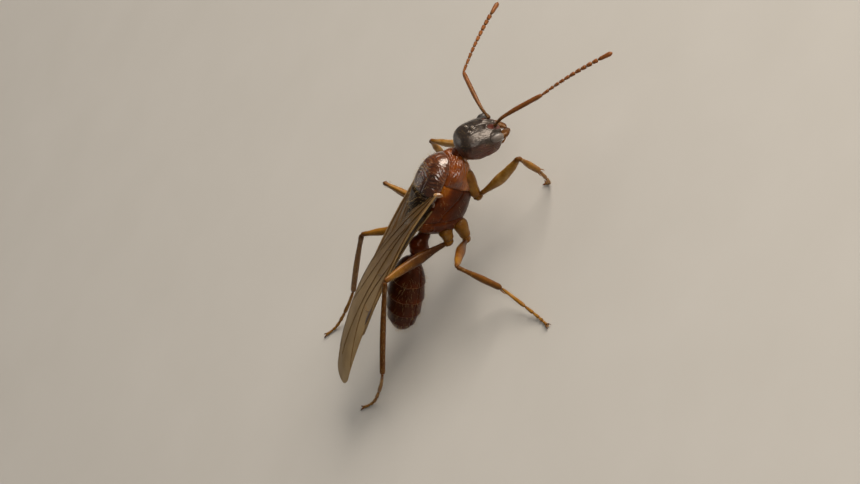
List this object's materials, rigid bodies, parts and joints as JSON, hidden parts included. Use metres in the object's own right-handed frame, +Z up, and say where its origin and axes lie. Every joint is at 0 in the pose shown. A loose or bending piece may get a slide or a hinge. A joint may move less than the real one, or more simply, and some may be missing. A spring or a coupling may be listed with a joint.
{
  "type": "winged queen ant",
  "caption": "Winged queen ant standing with its head raised, wings folded back over the gaster and feelers held out, as a still life-size model.",
  "frame": {"origin": "on the floor, under the middle of the bounding box", "axes": "+X the way the ant faces, +Y to its left, +Z up; the feet rest on z = 0"},
  "size_m": [0.0266, 0.0162, 0.0069],
  "materials": {
    "head_shell": "glossy blackish brown cuticle",
    "eye": "dark grey, finely facetted",
    "mandible": "glossy orange-tan",
    "feeler": "satin amber",
    "pronotum": "glossy orange-brown",
    "back_plate": "glossy brown-black",
    "side_plate": "glossy red-brown",
    "waist": "glossy orange-brown",
    "gaster": "glossy red-brown",
    "leg": "glossy amber",
    "wing": "smoky membrane"
  },
  "bodies": {
    "root": {"head": "head_shell", "eye_right": "eye", "eye_left": "eye", "mandible_right": "mandible", "mandible_left": "mandible", "scape_right": "feeler", "scape_left": "feeler", "funiculus_right": "feeler", "funiculus_left": "feeler", "neck": "side_plate", "pronotum": "pronotum", "mesoscutum": "back_plate", "scutellum": "back_plate", "mesopleuron": "side_plate", "propodeum": "side_plate", "petiole": "waist", "gaster_1": "gaster", "gaster_2": "gaster", "gaster_3": "gaster", "gaster_4": "gaster", "gaster_5": "gaster", "coxa_front_right": "leg", "femur_front_right": "leg", "tibia_front_right": "leg", "tarsus_front_right": "leg", "coxa_front_left": "leg", "femur_front_left": "leg", "tibia_front_left": "leg", "tarsus_front_left": "leg", "coxa_middle_right": "leg", "femur_middle_right": "leg", "tibia_middle_right": "leg", "tarsus_middle_right": "leg", "coxa_middle_left": "leg", "femur_middle_left": "leg", "tibia_middle_left": "leg", "tarsus_middle_left": "leg", "coxa_hind_right": "leg", "femur_hind_right": "leg", "tibia_hind_right": "leg", "tarsus_hind_right": "leg", "coxa_hind_left": "leg", "femur_hind_left": "leg", "tibia_hind_left": "leg", "tarsus_hind_left": "leg", "forewing_right": "wing", "forewing_left": "wing", "hindwing_right": "wing", "hindwing_left": "wing"}
  },
  "joints": []
}
